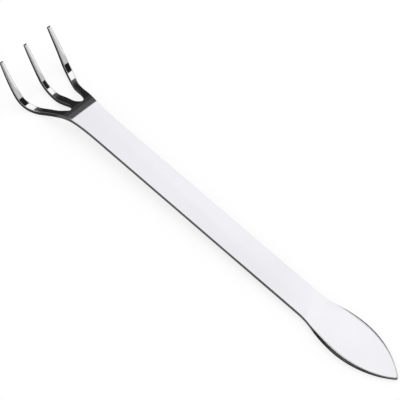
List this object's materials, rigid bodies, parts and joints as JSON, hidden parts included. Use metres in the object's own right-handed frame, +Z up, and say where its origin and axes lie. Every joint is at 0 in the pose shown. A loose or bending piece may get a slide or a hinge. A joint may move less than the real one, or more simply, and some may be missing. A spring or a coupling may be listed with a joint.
{
  "type": "root rake with spatula",
  "caption": "One-piece hand tool in polished stainless steel: a flat strip handle with curved, tapered rake tines at one end and a leaf-shaped spatula at the other.",
  "frame": {"origin": "on the table under the middle of the tool's length and width, as it rests with its tines up", "axes": "+X along the tool towards the spatula's point, +Z up, tines pointing up"},
  "size_m": [0.2096, 0.029, 0.0194],
  "materials": {
    "steel": "polished"
  },
  "bodies": {
    "root": {"rake": "steel"}
  },
  "joints": []
}
